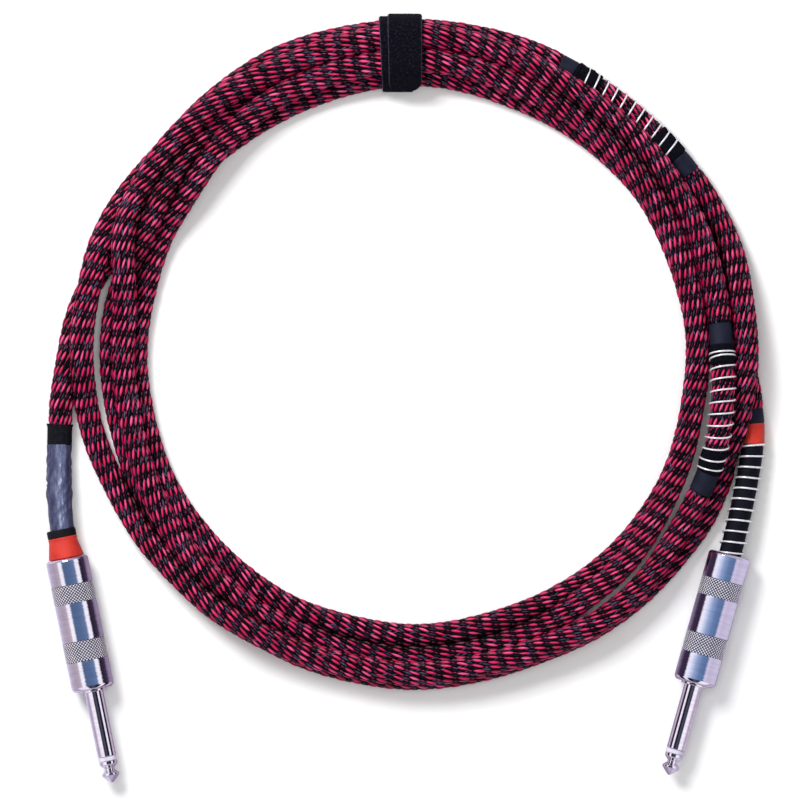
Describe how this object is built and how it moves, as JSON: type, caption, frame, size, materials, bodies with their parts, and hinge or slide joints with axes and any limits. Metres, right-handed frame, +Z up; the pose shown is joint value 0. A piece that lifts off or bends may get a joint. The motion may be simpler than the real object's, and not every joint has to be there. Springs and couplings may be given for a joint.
{
  "type": "instrument cable",
  "caption": "Coiled, strapped instrument cable with a braided sleeve, wire-spring strain reliefs and a straight 6.35 mm two-contact plug at each end.",
  "frame": {"origin": "middle of the whole object's outline, on the floor", "axes": "+Z up; the strap is at +Y; both plugs point to -Y, the plain-tube plug at -X and the wire-spring plug at +X"},
  "size_m": [0.2462, 0.2622, 0.0207],
  "materials": {
    "braid": "woven red and black yarn",
    "jacket": "matte",
    "shield": "woven fine wire",
    "insulation": "satin",
    "copper": "bare stranded",
    "plug_metal": "polished, finely turned",
    "clear_plastic": "satin",
    "insulator": "gloss",
    "fibre_washer": "matte",
    "lug": "tinned",
    "orange_plastic": "satin",
    "black_plastic": "matte",
    "grey_shrink": "crumpled, slightly glossy",
    "thread": "wound thread",
    "spring_wire": "bright drawn wire",
    "navy_collar": "matte",
    "felt_tape": "napped felt",
    "strap": "looped pile"
  },
  "bodies": {
    "coil": {"coil_braid_sleeve": "braid", "coil_outer_jacket": "jacket", "coil_braided_shield": "shield", "coil_core_insulation": "insulation", "coil_centre_conductor": "copper", "upper_spring_collars": "navy_collar", "upper_spring_tape_bands": "felt_tape", "upper_wire_spring": "spring_wire", "side_spring_collars": "navy_collar", "side_spring_tape_bands": "felt_tape", "side_wire_spring": "spring_wire", "right_orange_band": "orange_plastic", "right_black_shrink": "black_plastic", "strap_loop": "strap"},
    "left_lead": {"left_lead_braid_sleeve": "braid", "left_lead_outer_jacket": "jacket", "left_lead_braided_shield": "shield", "left_lead_core_insulation": "insulation", "left_lead_centre_conductor": "copper", "left_heat_shrink": "grey_shrink", "left_thread_wrap": "thread"},
    "left_plug": {"left_ground_sleeve": "plug_metal", "left_tip_insulator": "insulator", "left_tip_contact": "plug_metal", "left_rear_insulator_washer": "fibre_washer", "left_tip_solder_lug": "lug", "left_ground_clamp_lug": "lug"},
    "left_liner": {"left_plug_liner": "clear_plastic", "left_cable_bushing": "orange_plastic", "left_bushing_ring": "black_plastic"},
    "left_handle": {"left_plug_handle": "plug_metal"},
    "right_lead": {"right_lead_braid_sleeve": "braid", "right_lead_outer_jacket": "jacket", "right_lead_braided_shield": "shield", "right_lead_core_insulation": "insulation", "right_lead_centre_conductor": "copper", "right_relief_tube": "black_plastic", "right_relief_spring": "spring_wire"},
    "right_plug": {"right_ground_sleeve": "plug_metal", "right_tip_insulator": "insulator", "right_tip_contact": "plug_metal", "right_rear_insulator_washer": "fibre_washer", "right_tip_solder_lug": "lug", "right_ground_clamp_lug": "lug"},
    "right_liner": {"right_plug_liner": "clear_plastic"},
    "right_handle": {"right_plug_handle": "plug_metal"},
    "strap_flap": {"strap_flap": "strap"}
  },
  "joints": [
    {"name": "left_lead_swing", "type": "hinge", "parent": "coil", "child": "left_lead", "pos_m": [-0.11783, -0.00099, 0.00433], "axis": [0, 0, 1], "range_deg": [-30, 6], "deforming": ["left_lead_braid_sleeve", "left_lead_outer_jacket", "left_lead_braided_shield", "left_lead_core_insulation", "left_lead_centre_conductor"]},
    {"name": "left_plug_lift", "type": "hinge", "parent": "left_lead", "child": "left_plug", "pos_m": [-0.11866, -0.03071, 0.00576], "axis": [-0.9798, -0.2, 0], "range_deg": [0, 60], "deforming": ["left_heat_shrink"]},
    {"name": "left_handle_travel", "type": "slide", "parent": "left_plug", "child": "left_liner", "axis": [-0.2, 0.9798, 0], "range_m": [0, 0.0045]},
    {"name": "left_handle_unscrew", "type": "hinge", "parent": "left_liner", "child": "left_handle", "pos_m": [-0.11609, -0.05469, 0.00732], "axis": [-0.2, 0.9798, 0], "range_deg": [0, 2161]},
    {"name": "right_lead_swing", "type": "hinge", "parent": "coil", "child": "right_lead", "pos_m": [0.11848, -0.01521, 0.00462], "axis": [0, 0, 1], "range_deg": [-6, 30], "deforming": ["right_lead_braid_sleeve", "right_lead_outer_jacket", "right_lead_braided_shield", "right_lead_core_insulation", "right_lead_centre_conductor"]},
    {"name": "right_plug_lift", "type": "hinge", "parent": "right_lead", "child": "right_plug", "pos_m": [0.1124, -0.04443, 0.00707], "axis": [-0.9634, 0.268, 0], "range_deg": [0, 60], "deforming": ["right_relief_tube", "right_relief_spring"]},
    {"name": "right_handle_travel", "type": "slide", "parent": "right_plug", "child": "right_liner", "axis": [0.268, 0.9634, 0], "range_m": [0, 0.0045]},
    {"name": "right_handle_unscrew", "type": "hinge", "parent": "right_liner", "child": "right_handle", "pos_m": [0.11005, -0.05339, 0.00732], "axis": [0.268, 0.9634, 0], "range_deg": [0, 2161]},
    {"name": "strap_flap_peel", "type": "hinge", "parent": "coil", "child": "strap_flap", "pos_m": [-0.00085, 0.13051, 0.00807], "axis": [-1, 0, 0], "range_deg": [0, 110]}
  ],
  "couplings": [
    {"joint": "left_handle_unscrew", "follows": "left_handle_travel", "rad_per_m": 8377.6},
    {"joint": "right_handle_unscrew", "follows": "right_handle_travel", "rad_per_m": 8377.6}
  ]
}
